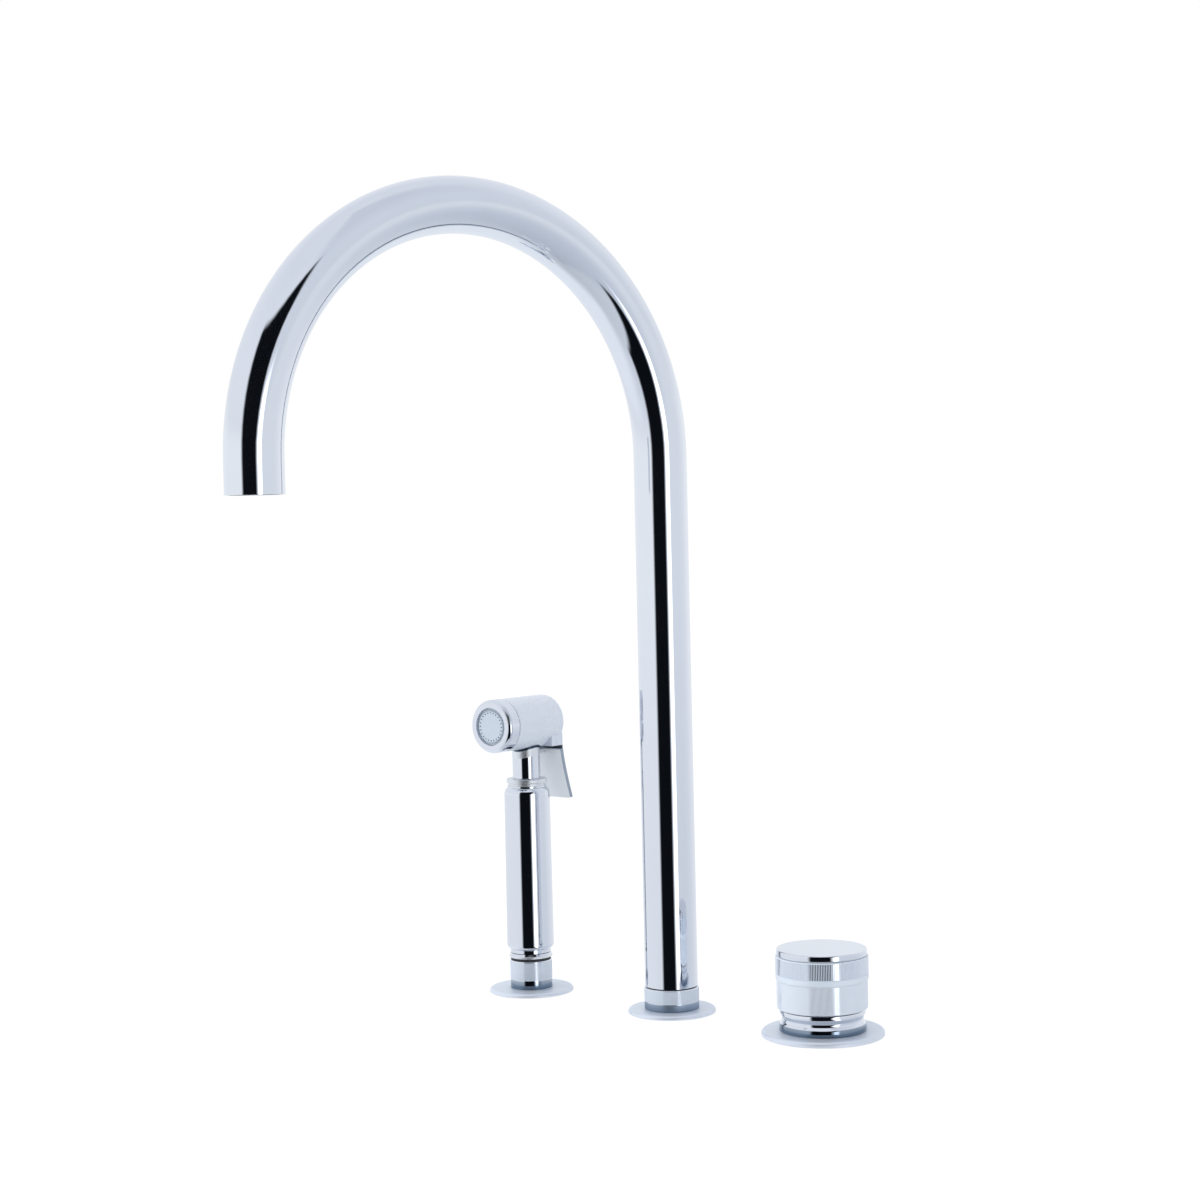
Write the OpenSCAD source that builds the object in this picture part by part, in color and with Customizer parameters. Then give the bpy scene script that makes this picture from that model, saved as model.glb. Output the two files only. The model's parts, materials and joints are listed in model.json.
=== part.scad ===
// Three-hole kitchen mixer set: a tall swivel spout, a single control knob and a rinse handset.
// The worktop's upper face is z = 0 and the user stands on the -Y side.
// The spout turns about the Z axis, with the control on its +X side and the handset on its -X side.
// What lies below z = 0 is the fixing and plumbing under the worktop.

/* [Layout] */
// Distance from the spout to the control
control_x = 85.5; // [75:0.5:120]
// Distance from the spout to the rinse handset
spray_x = 88; // [75:0.5:120]
// Turn of the outlet towards the handset at rest, in degrees
spout_turn = 11; // [-30:1:30]
// Worktop thickness that the fixings are drawn up to
deck_t = 30; // [20:1:40]

/* [Spout] */
// Outside radius of the spout tube
tube_r = 12.5; // [12:0.1:14]
// Wall of the spout tube
tube_wall = 1.5; // [1:0.1:2]
// Radius of the arch along the tube's centre line
arch_r = 110; // [80:1:130]
// Height of the arch's centre above the worktop
arch_z = 262; // [200:1:300]
// Straight drop from the arch's end to the outlet rim
drop_h = 15; // [13:1:40]
// Radius of the spout's flange
spout_flange_r = 20.8; // [20:0.1:26]
// Thickness of the spout's flange
spout_flange_t = 2; // [1.6:0.1:4]
// Radius of the fixed collar under the tube
collar_r = 12.9; // [12.6:0.1:15]
// Height of the fixed collar above its flange
collar_h = 10.3; // [6:0.1:20]
// Radius of the spigot that the tube turns on
spigot_r = 8.4; // [7.8:0.1:9]
// Length of the spigot above the collar
spigot_h = 38; // [34:1:60]
// Radius of the waterway through the spout's shank
waterway_r = 5; // [3:0.1:5.4]
// Thickness of the thrust washer under the tube
thrust_t = 0.5; // [0.4:0.1:2]
// Height of the locking screw above the collar
spout_lock_h = 9; // [7:0.5:12]

/* [Outlet] */
// Height of the aerator's housing
aerator_h = 9; // [6:0.5:10]
// Depth of the aerator inside the rim
aerator_inset = 0.6; // [0.3:0.1:2]
// Wall of the aerator's housing
aerator_wall = 1.4; // [1:0.1:2]
// Distance between neighbouring jets of the aerator
jet_pitch = 3.2; // [2.8:0.1:4]
// Width of one jet across its corners
jet_w = 2.4; // [1:0.1:2.6]
// Thickness of the aerator's jet plate
jet_plate_t = 4; // [2:0.5:5]

/* [Control] */
// Radius of the control's flange
control_flange_r = 27.7; // [26:0.1:32]
// Thickness of the control's flange
control_flange_t = 2.5; // [1.6:0.1:4]
// Radius of the valve body, the thread that passes the worktop
body_r = 16.5; // [16.3:0.1:17]
// Radius of the base ring on the flange
base_ring_r = 19.6; // [19:0.1:22]
// Height of the base ring
base_ring_h = 4; // [3:0.1:6]
// Radius of the neck above the base ring
base_neck_r = 18.4; // [17.6:0.1:18.9]
// Height of the neck
base_neck_h = 2.5; // [1.5:0.1:4]
// Radius of the thin lip under the knob
base_lip_r = 19.3; // [19:0.1:20]
// Height of the lip
base_lip_h = 3; // [1:0.1:4]
// Shadow gap between the lip and the knob
knob_gap = 0.5; // [0.3:0.1:1]
// Radius of the knob's sleeve and cap
knob_r = 20.4; // [20:0.1:23]
// Height of the knob's sleeve
sleeve_h = 13; // [12:0.1:18]
// Wall of the knob's sleeve
sleeve_wall = 3.2; // [2.6:0.1:4]
// How far the grip band stands out of the knob
band_proud = 0.5; // [0:0.1:1.5]
// Height of the grip band
band_h = 10.6; // [6:0.1:12]
// Thickness of the grip band's ring, measured from the knob's face
band_t = 1.5; // [1:0.1:2]
// Height of the knob's cap
cap_h = 3.2; // [3:0.1:8]
// Radius of the rounded edge on the cap
cap_edge = 0.8; // [0.3:0.1:1.5]

/* [Cartridge] */
// Radius of the cartridge
cartridge_r = 14; // [13.5:0.1:14.5]
// Height of the cartridge below the worktop's upper face
cartridge_depth = 20; // [18:0.5:26]
// Radius of the ceramic discs
disc_r = 11; // [10.5:0.1:11.5]
// Thickness of each ceramic disc
disc_t = 4; // [3:0.1:4.5]
// Radius of a port through the fixed disc
port_r = 2.2; // [1.6:0.1:2.4]
// Distance of the ports from the cartridge's centre line
port_ring_r = 6.5; // [6:0.1:7]
// Radius of the spindle
spindle_r = 4; // [3.5:0.1:4.5]
// Radius of the cartridge's neck around the spindle
cartridge_neck_r = 9; // [8:0.1:9.5]

/* [Water connections] */
// Thickness of the tail block, the plate that carries the three hose sockets
tail_block_t = 4; // [3:0.5:8]
// Radius of the thread in each hose socket
tail_port_r = 4.5; // [4:0.1:4.6]
// Wall of each hose socket
tail_socket_wall = 2.4; // [1.6:0.1:2.6]
// Length of each hose socket
tail_socket_h = 10; // [8:0.5:12]
// Distance of the hose sockets from the control's centre line
tail_ring_r = 9; // [8.6:0.1:9.2]
// Radius of the stud that screws the tail block to the valve body
tail_stud_r = 2.5; // [2:0.1:3]
// Height of the stud
tail_stud_h = 6; // [4:0.5:9]
// Radius of the spout's threaded inlet below its nut
inlet_r = 10.4; // [9:0.1:10.6]
// Length of the spout's threaded inlet
inlet_h = 14; // [10:0.5:20]
// Radius of the hose thread in the handset's fitting
hose_port_r = 7; // [6.5:0.1:7.1]
// Depth of the hose thread in the handset's fitting
hose_port_depth = 12; // [8:0.5:12.5]
// Length of the fitting that stands inside the holder's socket
fitting_h = 16.2; // [13.8:0.1:18]

/* [Fixings] */
// Radius of the threaded shanks of the spout and the handset holder
shank_r = 12; // [11.8:0.1:12.4]
// Thickness of the rubber washers
rubber_t = 3; // [2:0.5:5]
// Thickness of the steel washers
washer_t = 2; // [1.5:0.1:3]
// How far the washers reach outside their thread
washer_w = 7; // [5:0.5:9]
// Height of the back nuts
nut_h = 9; // [6:0.5:12]
// How far a nut's flats stand outside its thread
nut_w = 5; // [4:0.1:6]
// Thread left over below each back nut
thread_spare = 6; // [4:0.5:12]
// Thickness of the gaskets let into the flanges
gasket_t = 0.9; // [0.6:0.1:1.2]
// Width of the gaskets
gasket_w = 4; // [3:0.1:4.5]
// Distance from a flange's rim to its gasket
gasket_inset = 2; // [1.5:0.1:3]
// Radius of the rounded upper edge of the flanges
flange_round = 1.5; // [0.5:0.1:1.5]

/* [Handset holder] */
// Radius of the holder's flange
holder_flange_r = 20.8; // [20:0.1:26]
// Thickness of the holder's flange
holder_flange_t = 2; // [1.6:0.1:4]
// Radius of the holder's collar
holder_r = 10.35; // [10.2:0.05:11]
// Height of the holder's collar above its flange
holder_h = 13.9; // [12:0.1:20]
// Radius of the socket in the liner that the handset stands in
socket_r = 8.3; // [8.2:0.05:8.4]
// Radius of the hose passage below the socket
passage_r = 8; // [7.4:0.1:8]
// Wall of the liner around the socket
liner_wall = 1; // [0.8:0.1:1.1]
// Thickness of the liner's lip, the dark ring under the handset
liner_lip_t = 1.3; // [0.5:0.1:2]

/* [Handset] */
// Radius of the ferrule at the foot of the handset
ferrule_r = 10.7; // [10.3:0.1:11.5]
// Height of the ferrule
ferrule_h = 2.2; // [2:0.1:8]
// Height of the bevel around the ferrule's upper edge
ferrule_bevel_h = 1.3; // [0.4:0.1:1.8]
// Gap between the ferrule and the turning handle
swivel_gap = 0.3; // [0.2:0.1:0.6]
// Radius of the groove above the ferrule
handle_groove_r = 10.05; // [9.8:0.05:10.2]
// Height of the groove above the ferrule
handle_groove_h = 1.7; // [1:0.1:3]
// Radius at the bottom of the handle
handle_low_r = 11.6; // [11.2:0.1:13]
// Radius at the top of the handle
handle_high_r = 11.3; // [11:0.1:12.5]
// Length of the handle
handle_h = 82.8; // [70:0.1:110]
// Wall of the handle
handle_wall = 2; // [1.5:0.1:2.4]
// Thickness of the walls that close the handle's ends
handle_end_t = 6; // [5:0.5:7]
// Radius at the handle's shoulder, and of the ring on it
shoulder_r = 10; // [9.4:0.1:10.4]
// Height of the ring on the handle's shoulder
top_ring_h = 3.5; // [3:0.1:6]
// Radius of the neck
neck_r = 6.9; // [6.6:0.1:7.1]
// Distance from the top ring to the head's centre line
neck_rise = 27.6; // [26:0.1:32]
// Radius of the waterway through the handset
handset_way_r = 3.5; // [2.5:0.1:3.6]

/* [Handset head] */
// Radius of the head
head_r = 12.9; // [12.7:0.1:13.4]
// Reach of the head in front of the handle
head_front = 26; // [25:0.1:32]
// Reach of the head behind the handle
head_rear = 16; // [15.8:0.1:18]
// Radius of the chamber inside the head
chamber_r = 8; // [7.8:0.1:8.2]
// Radius of the rounded edge at the head's rear
head_rear_edge = 3; // [1:0.1:4]
// Radius of the front ring
front_ring_r = 13.1; // [12.8:0.1:14]
// Length of the front ring
front_ring_h = 7; // [6.8:0.1:9]
// Radius of the rounded edge on the front ring
front_ring_edge = 2.2; // [0.5:0.1:2.6]
// Radius of the nozzle plate
nozzle_r = 9.2; // [8.8:0.1:9.8]
// Radius of the raised centre of the nozzle plate
nozzle_centre_r = 7.6; // [6:0.1:7.8]
// Depth of the ring groove in the nozzle plate
nozzle_groove_d = 1.2; // [0.5:0.1:1.6]
// Number of spray holes in the ring groove
nozzle_count = 24; // [8:1:30]
// Radius of a spray hole
nozzle_hole_r = 0.45; // [0.3:0.05:0.6]

/* [Handset lever] */
// Width of the lever
lever_w = 24.6; // [20:0.2:26]
// Thickness of the lever
lever_t = 1.8; // [1.4:0.1:2.2]
// Distance from the head's centre line to the lever's lower end
lever_drop = 39; // [34:0.5:44]
// Distance from the handle's centre line to the lever's upper end
lever_back = 13.1; // [12.8:0.1:13.4]
// How far the lower end flares away from the handle
lever_flare = 6.8; // [6:0.1:12]
// Gap between the head and the lever's upper edge
lever_gap = 0.7; // [0.5:0.1:2.4]
// Radius of the lever's lower corners
lever_corner = 1.2; // [0.6:0.1:6]
// Distance from the handle's centre line to the lever's pin
pin_back = 10; // [9.9:0.05:10.2]
// Radius of the lever's pin
pin_r = 1; // [0.8:0.05:1.2]
// Width of the lever's tongue inside the head
tongue_w = 4; // [3:0.1:5]
// Width of the square heel under the head's rear that carries the pin
heel_w = 22; // [20:0.2:24]
// Distance from the head's centre line to the heel's underside
heel_drop = 12.1; // [12:0.1:12.4]
// How far the heel's rear skirt hangs over the lever's upper edge
skirt_drop = 2.1; // [1:0.1:3]
// Gap between the skirt and the lever in front of it, mm
skirt_gap = 0.6; // [0.4:0.1:1]
// How far the heel reaches in front of the lever's pin, mm
heel_reach = 3; // [3:0.1:4]
// Radius of the heel's rear corners, mm
heel_corner = 1.2; // [0.8:0.1:1.3]

/* [Handset valve] */
// Radius of the valve stem
stem_r = 2; // [1.6:0.1:2.2]
// Radius of the valve disc on the stem
valve_disc_r = 5; // [4.5:0.1:6]
// Radius of the collar that the lever's finger draws back
stem_collar_r = 5.5; // [4.8:0.1:6]
// Gap between the lever's finger and the stem
finger_gap = 1.4; // [1:0.1:1.8]
// Radius of the opening in the valve seat
seat_r = 3.5; // [2.6:0.1:3.8]
// Radius of the coil of the return spring
spring_r = 3.6; // [3.3:0.1:4]
// Radius of the return spring's wire
spring_wire_r = 0.35; // [0.25:0.05:0.4]
// Number of turns of the return spring
spring_turns = 6; // [4:1:7]

/* [Clearances] */
// Radial clearance of a shaft in its bearing
run_gap = 0.05; // [0.03:0.01:0.08]
// Radial clearance of fixed and threaded fits
fit_gap = 0.05; // [0.03:0.01:0.1]
// Clearance around a part that swings inside another
swing_gap = 0.4; // [0.3:0.05:0.5]
// Radius of the seals' round section
seal_r = 0.8; // [0.6:0.05:0.9]

/* [Hidden] */

lathe_fn = 96;
edge_fn = 48;
chrome = [0.80, 0.82, 0.86];
brass = [0.78, 0.64, 0.36];
steel = [0.62, 0.63, 0.65];
rubber = [0.08, 0.08, 0.09];
white_plastic = [0.90, 0.90, 0.88];
ceramic = [0.93, 0.92, 0.88];
edge = 0.4;
cut = 1;

// Spout heights
collar_top = spout_flange_t + collar_h;
tube_low = collar_top + thrust_t;
spigot_top = collar_top + spigot_h;
sleeve_top = spigot_top + 3;
tube_in_r = tube_r - tube_wall;
rim_z = arch_z - drop_h;
shank_low = -(deck_t + rubber_t + washer_t + nut_h + thread_spare);
lock_z = collar_top + spout_lock_h;
lock_screw_r = 2;
lock_groove_d = 1.2;
lock_groove_h = 5;

// Control heights
base_low = control_flange_t;
base_top = base_low + base_ring_h + base_neck_h + base_lip_h;
knob_low = base_top + knob_gap;
band_low = knob_low + sleeve_h;
cap_low = band_low + band_h;
web_t = 3;
web_low = cap_low - web_t;
body_top = base_top - 0.5;
case_top = base_low + 0.5;
nut_top = body_top - 0.5;
floor_z = -cartridge_depth;
seal_t = 1;
disc_low = floor_z + seal_t;
carrier_t = 3;
insert_low = knob_low + 2.5;
spindle_top = web_low - 0.5;
knob_lock_z = knob_low + 7;
body_low = shank_low;
block_low = body_low - tail_block_t;
tail_low = block_low - tail_socket_h;

// Handset heights
liner_top = holder_flange_t + holder_h;
ferrule_low = liner_top + liner_lip_t;
ferrule_top = ferrule_low + ferrule_h;
fitting_low = ferrule_low - fitting_h;
handle_low = ferrule_top + swivel_gap;
handle_top = handle_low + handle_h;
ring_top = handle_top + top_ring_h;
head_z = ring_top + neck_rise;
journal_r = 6;
clip_low = handle_low + handle_end_t + 0.3;
clip_t = 0.9;
nose_r = 4.9;
nose_low = clip_low + clip_t + 0.4;
nose_h = 7;
tube_wall_h = 1.5;
water_tube_r = handset_way_r + tube_wall_h;
pin_z = head_z - (head_r + chamber_r) / 2;
chamber_end = pin_back + 4;
ring_back = front_ring_h - head_front;
tenon_r = handset_way_r + 1.5;
guide_front = tenon_r + 0.2;
guide_t = 2;
seat_back = -8;
seat_t = 4;
washer_face_t = 0.5;
valve_disc_t = 2;
collar_front = pin_back + 1;
lever_low = head_z - lever_drop;
lever_top = head_z - head_r - lever_gap;

module at_control() translate([control_x, 0, 0]) children();
module at_spray() translate([-spray_x, 0, 0]) children();
module at_spout_turn() rotate([0, 0, -spout_turn]) children();
module at_head() translate([-spray_x, 0, head_z]) rotate([-90, 0, 0]) children();
module lathe() rotate_extrude($fn = lathe_fn) children();

// Section of a ring whose two outer edges are rounded
module edged_section(r_in, r_out, z0, z1, e) {
    translate([r_in, z0]) square([r_out - e - r_in, z1 - z0]);
    translate([r_in, z0 + e]) square([r_out - r_in, z1 - z0 - 2 * e]);
    for (z = [z0 + e, z1 - e]) translate([r_out - e, z]) circle(r = e, $fn = edge_fn);
}

module ring_section(r_in, r_out, z0, z1) translate([r_in, z0]) square([r_out - r_in, z1 - z0]);
module ring(r_in, r_out, z0, z1) lathe() ring_section(r_in, r_out, z0, z1);
module o_ring(r, z) lathe() translate([r, z]) circle(r = seal_r, $fn = edge_fn);

// Flange with the groove for its gasket on the underside
module flange(r_in, r_out, t) {
    lathe() difference() {
        flange_section(r_in, r_out, t);
        gasket_groove(r_out);
    }
}

module flange_section(r_in, r_out, t) {
    round_low = t - flange_round;
    translate([r_in, 0]) square([r_out - edge - r_in, round_low]);
    translate([r_in, edge]) square([r_out - r_in, round_low - edge]);
    translate([r_out - edge, edge]) circle(r = edge, $fn = edge_fn);
    translate([r_in, round_low]) square([r_out - flange_round - r_in, flange_round]);
    translate([r_out - flange_round, round_low]) intersection() {
        circle(r = flange_round, $fn = edge_fn);
        square(flange_round);
    }
}

module gasket_groove(flange_r) ring_section(
    flange_r - gasket_inset - gasket_w, flange_r - gasket_inset, -cut, gasket_t);

module gasket(flange_r) ring(
    flange_r - gasket_inset - gasket_w + fit_gap, flange_r - gasket_inset - fit_gap, 0, gasket_t);

// The stack under the worktop, on a thread of radius r
module rubber_washer(r) ring(r + fit_gap, r + washer_w, -deck_t - rubber_t, -deck_t);
module steel_washer(r)
    ring(r + fit_gap, r + washer_w, -deck_t - rubber_t - washer_t, -deck_t - rubber_t);

module back_nut(r) {
    low = -deck_t - rubber_t - washer_t - nut_h;
    corner_r = (r + nut_w) / cos(30);
    bevel = corner_r - r - nut_w + 0.6;
    difference() {
        intersection() {
            translate([0, 0, low]) cylinder(r = corner_r, h = nut_h, $fn = 6);
            lathe() polygon([
                [0, low], [corner_r - bevel, low], [corner_r, low + bevel / 2],
                [corner_r, low + nut_h - bevel / 2], [corner_r - bevel, low + nut_h],
                [0, low + nut_h]
            ]);
        }
        translate([0, 0, low - cut]) cylinder(r = r + fit_gap, h = nut_h + 2 * cut, $fn = lathe_fn);
    }
}

// Set screw lying along -Y with its tip at tip_y and a hexagon socket in its rear
module set_screw(r, tip_y, head_y) {
    difference() {
        translate([0, tip_y, 0]) rotate([-90, 0, 0]) {
            lathe() polygon([
                [0, 0], [r - 0.6, 0], [r, 0.6], [r, head_y - tip_y], [0, head_y - tip_y]
            ]);
        }
        translate([0, head_y - 1.5, 0]) rotate([-90, 0, 0]) cylinder(r = r * 0.55, h = 3, $fn = 6);
    }
}

// Fixed pieces of the spout

module spout_flange() color(chrome) flange(shank_r + fit_gap, spout_flange_r, spout_flange_t);
// The two gaskets of one size, under the spout's flange and the holder's
module small_gaskets() color(rubber) {
    gasket(spout_flange_r);
    at_spray() gasket(holder_flange_r);
}

module spout_shank() color(chrome) {
    lathe() difference() {
        union() {
            ring_section(waterway_r, shank_r, shank_low, spout_flange_t);
            ring_section(waterway_r, inlet_r, shank_low - inlet_h, shank_low);
            edged_section(waterway_r, collar_r, spout_flange_t, collar_top, edge);
            ring_section(waterway_r, spigot_r, collar_top, spigot_top);
        }
        for (z = seal_heights())
            ring_section(spigot_r - 2 * seal_r - fit_gap, spigot_r + cut,
                z - seal_r - fit_gap, z + seal_r + fit_gap);
        ring_section(spigot_r - lock_groove_d, spigot_r + cut,
            lock_z - lock_groove_h / 2, lock_z + lock_groove_h / 2);
    }
}

function seal_heights() = [spigot_top - 14, spigot_top - 5];

module spout_seals() color(rubber)
    for (z = seal_heights()) o_ring(spigot_r - seal_r, z);

module spout_thrust_washer() color(rubber)
    ring(spigot_r + fit_gap, tube_r - 0.5, collar_top, tube_low);

module spout_rubber_washer() color(rubber) rubber_washer(shank_r);
module spout_steel_washer() color(steel) steel_washer(shank_r);
module spout_back_nut() color(brass) back_nut(shank_r);

// Turning pieces of the spout

module tube_path(r_in, r_out) {
    translate([0, 0, tube_low]) linear_extrude(arch_z - tube_low) tube_section(r_in, r_out);
    translate([0, -arch_r, arch_z]) rotate([90, 0, -90])
        rotate_extrude(angle = 180, $fn = 2 * lathe_fn)
            translate([arch_r, 0]) tube_section(r_in, r_out);
    translate([0, -2 * arch_r, rim_z]) linear_extrude(drop_h) tube_section(r_in, r_out);
}

module tube_section(r_in, r_out) difference() {
    circle(r = r_out, $fn = lathe_fn);
    circle(r = r_in, $fn = lathe_fn);
}

module spout_tube() color(chrome) at_spout_turn() difference() {
    tube_path(tube_in_r, tube_r);
    translate([0, 0, lock_z]) rotate([-90, 0, 0])
        cylinder(r = lock_screw_r + fit_gap, h = 2 * tube_r, $fn = edge_fn);
}

module swivel_sleeve() color(brass) at_spout_turn() difference() {
    ring(spigot_r + run_gap, tube_in_r - fit_gap, tube_low, sleeve_top);
    translate([0, 0, lock_z]) rotate([-90, 0, 0])
        cylinder(r = lock_screw_r + fit_gap, h = 2 * tube_r, $fn = edge_fn);
}

module spout_lock_screw() color(steel) at_spout_turn() translate([0, 0, lock_z])
    set_screw(lock_screw_r, spigot_r - lock_groove_d + 0.3, tube_r - 0.5);

module at_outlet() at_spout_turn() translate([0, -2 * arch_r, rim_z + aerator_inset]) children();

module aerator_housing() color(chrome) at_outlet() lathe() difference() {
    edged_section(0, tube_in_r - fit_gap, 0, aerator_h, edge);
    ring_section(-cut, tube_in_r - fit_gap - aerator_wall, -cut, jet_plate_t + 1);
    ring_section(-cut, tube_in_r - fit_gap - aerator_wall - 1, 0, aerator_h + cut);
}

module aerator_jet_plate() color(white_plastic) at_outlet() {
    plate_r = tube_in_r - fit_gap - aerator_wall - fit_gap;
    rows = floor(plate_r / jet_pitch);
    difference() {
        translate([0, 0, 1]) cylinder(r = plate_r, h = jet_plate_t, $fn = lathe_fn);
        for (i = [-rows:rows], j = [-rows:rows]) {
            x = (i + j / 2) * jet_pitch;
            y = j * sin(60) * jet_pitch;
            if (norm([x, y]) < plate_r - jet_w / 2 - 0.5)
                translate([x, y, 0]) cylinder(r = jet_w / 2, h = jet_plate_t + 2, $fn = 6);
        }
    }
}

module aerator_gasket() color(rubber) at_outlet()
    ring(tube_in_r - fit_gap - aerator_wall - 1, tube_in_r - fit_gap, aerator_h, aerator_h + 1.5);

// Fixed pieces of the control

module control_flange() color(chrome) at_control()
    flange(body_r + fit_gap, control_flange_r, control_flange_t);
module control_gasket() color(rubber) at_control() gasket(control_flange_r);

module control_base() color(chrome) at_control() lathe() {
    inner = body_r + fit_gap;
    neck_low = base_low + base_ring_h;
    lip_low = neck_low + base_neck_h;
    edged_section(inner, base_ring_r, base_low, neck_low, edge);
    ring_section(inner, base_neck_r, neck_low, lip_low);
    edged_section(inner, base_lip_r, lip_low, base_top, edge);
}

function port_angles() = [90, 210, 330];

module valve_body() color(brass) at_control() difference() {
    union() {
        ring(cartridge_r + fit_gap, body_r, floor_z, body_top);
        translate([0, 0, body_low])
            cylinder(r = body_r, h = floor_z - body_low, $fn = lathe_fn);
    }
    for (a = port_angles()) rotate([0, 0, a]) translate([port_ring_r, 0, body_low - cut])
        cylinder(r = port_r, h = floor_z - body_low + 2 * cut, $fn = edge_fn);
    translate([0, 0, body_low - cut])
        cylinder(r = tail_stud_r + fit_gap, h = tail_stud_h + 2 * cut, $fn = edge_fn);
}

// Screwed to the valve body from below by its short central stud
module tail_block() color(brass) at_control() difference() {
    union() {
        translate([0, 0, block_low]) cylinder(r = body_r, h = tail_block_t, $fn = lathe_fn);
        translate([0, 0, body_low]) cylinder(r = tail_stud_r, h = tail_stud_h, $fn = edge_fn);
    }
    for (a = port_angles()) rotate([0, 0, a]) translate([port_ring_r, 0, block_low - cut])
        cylinder(r = port_r, h = tail_block_t + 2 * cut, $fn = edge_fn);
}

// Hose sockets, brazed to the underside of the tail block
module tail_socket(angle) color(brass) at_control() rotate([0, 0, angle])
    translate([tail_ring_r, 0, 0])
        ring(tail_port_r, tail_port_r + tail_socket_wall, tail_low, block_low);

module mixed_socket() tail_socket(port_angles()[0]);
module hot_socket() tail_socket(port_angles()[1]);
module cold_socket() tail_socket(port_angles()[2]);

module control_rubber_washer() color(rubber) at_control() rubber_washer(body_r);
module control_steel_washer() color(steel) at_control() steel_washer(body_r);
module control_back_nut() color(brass) at_control() back_nut(body_r);

module cartridge_case() color(white_plastic) at_control() lathe() difference() {
    union() {
        ring_section(spindle_r + run_gap, cartridge_r, disc_low, case_top);
        ring_section(spindle_r + run_gap, cartridge_neck_r, case_top, nut_top);
    }
    ring_section(0, disc_r + 0.3, disc_low - cut, disc_low + 2 * disc_t + carrier_t + 0.3);
}

module cartridge_nut() color(brass) at_control() difference() {
    ring(cartridge_neck_r + fit_gap, cartridge_r, case_top, nut_top);
    for (a = [0:90:270]) rotate([0, 0, a]) translate([cartridge_neck_r + 1.5, -1.5, nut_top - 2])
        cube([cartridge_r, 3, 4]);
}

module cartridge_seals() color(rubber) at_control()
    for (a = port_angles()) rotate([0, 0, a]) translate([port_ring_r, 0, 0])
        ring(port_r, port_r + 1.2, floor_z, disc_low);

module fixed_disc() color(ceramic) at_control() difference() {
    translate([0, 0, disc_low]) cylinder(r = disc_r, h = disc_t, $fn = lathe_fn);
    for (a = port_angles()) rotate([0, 0, a]) translate([port_ring_r, 0, disc_low - cut])
        cylinder(r = port_r, h = disc_t + 2 * cut, $fn = edge_fn);
}

// Turning pieces of the control

// Its underside has a channel that joins the ports as it turns
module moving_disc() color(ceramic) at_control() difference() {
    translate([0, 0, disc_low + disc_t]) cylinder(r = disc_r, h = disc_t, $fn = lathe_fn);
    translate([0, 0, disc_low + disc_t]) intersection() {
        ring(port_ring_r - port_r, port_ring_r + port_r, -cut, disc_t / 2);
        linear_extrude(disc_t) polygon([
            [0, 0], [2 * disc_r, -disc_r], [2 * disc_r, 2 * disc_r], [-disc_r, 2 * disc_r]
        ]);
    }
}

module spindle() color(brass) at_control() difference() {
    lathe() {
        ring_section(0, spindle_r, disc_low + 2 * disc_t, spindle_top);
        ring_section(0, disc_r - 0.5, disc_low + 2 * disc_t, disc_low + 2 * disc_t + carrier_t);
    }
    for (s = [-1, 1]) translate([s * spindle_r * 1.3 - spindle_r / 2, -spindle_r, nut_top + 3])
        cube([spindle_r, 2 * spindle_r, spindle_top]);
}

module knob_insert() color(white_plastic) at_control() difference() {
    ring(0, knob_r - sleeve_wall - fit_gap, insert_low, web_low);
    difference() {
        translate([0, 0, insert_low - cut])
            cylinder(r = spindle_r + fit_gap, h = web_low - insert_low + 2 * cut, $fn = lathe_fn);
        for (s = [-1, 1])
            translate([s * spindle_r * 1.3 - spindle_r / 2 + s * fit_gap, -spindle_r, insert_low])
                cube([spindle_r, 2 * spindle_r, web_low - insert_low]);
    }
    translate([0, 0, knob_lock_z]) rotate([-90, 0, 0])
        cylinder(r = lock_screw_r + fit_gap, h = 2 * knob_r, $fn = edge_fn);
}

module knob_sleeve() color(chrome) at_control() difference() {
    lathe() {
        edged_section(knob_r - sleeve_wall, knob_r, knob_low, band_low, edge);
        ring_section(knob_r - sleeve_wall, knob_r - band_t, band_low, cap_low);
        ring_section(0, knob_r - band_t, web_low, cap_low);
    }
    translate([0, 0, knob_lock_z]) rotate([-90, 0, 0])
        cylinder(r = lock_screw_r + fit_gap, h = 2 * knob_r, $fn = edge_fn);
    translate([0, 0, web_low - cut]) cylinder(r = 5, h = 2 * web_t, $fn = edge_fn);
}

module grip_band() color(steel) at_control() lathe()
    edged_section(knob_r - band_t + fit_gap, knob_r + band_proud, band_low, cap_low, edge);

module knob_cap() color(chrome) at_control() lathe() {
    edged_section(0, knob_r, cap_low, cap_low + cap_h, cap_edge);
    ring_section(0, 5 - fit_gap, cap_low - web_t, cap_low);
}

module knob_lock_screw() color(steel) at_control() translate([0, 0, knob_lock_z])
    set_screw(lock_screw_r, spindle_r + fit_gap, knob_r - 0.6);

// Fixed pieces of the handset's holder

// The shank's shoulder is brazed into a step in the flange
module holder_flange() color(chrome) at_spray() lathe() difference() {
    flange_section(0, holder_flange_r, holder_flange_t);
    ring_section(-cut, holder_r + fit_gap, -cut, holder_flange_t + cut);
    ring_section(-cut, shank_r + fit_gap, -cut, holder_flange_t / 2);
    gasket_groove(holder_flange_r);
}

module holder_body() color(chrome) at_spray() lathe() difference() {
    union() {
        edged_section(0, holder_r, holder_flange_t / 2 - 2 * edge, liner_top, edge);
        ring_section(0, shank_r, shank_low, holder_flange_t / 2);
    }
    ring_section(-cut, socket_r + liner_wall + fit_gap, shank_low - cut, liner_top + cut);
}

module holder_liner() color(rubber) at_spray() lathe() {
    ring_section(passage_r, socket_r + liner_wall, shank_low, fitting_low - 0.5);
    ring_section(socket_r, socket_r + liner_wall, fitting_low - 0.5, ferrule_low);
    ring_section(socket_r, holder_r - edge, liner_top, ferrule_low);
}

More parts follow.
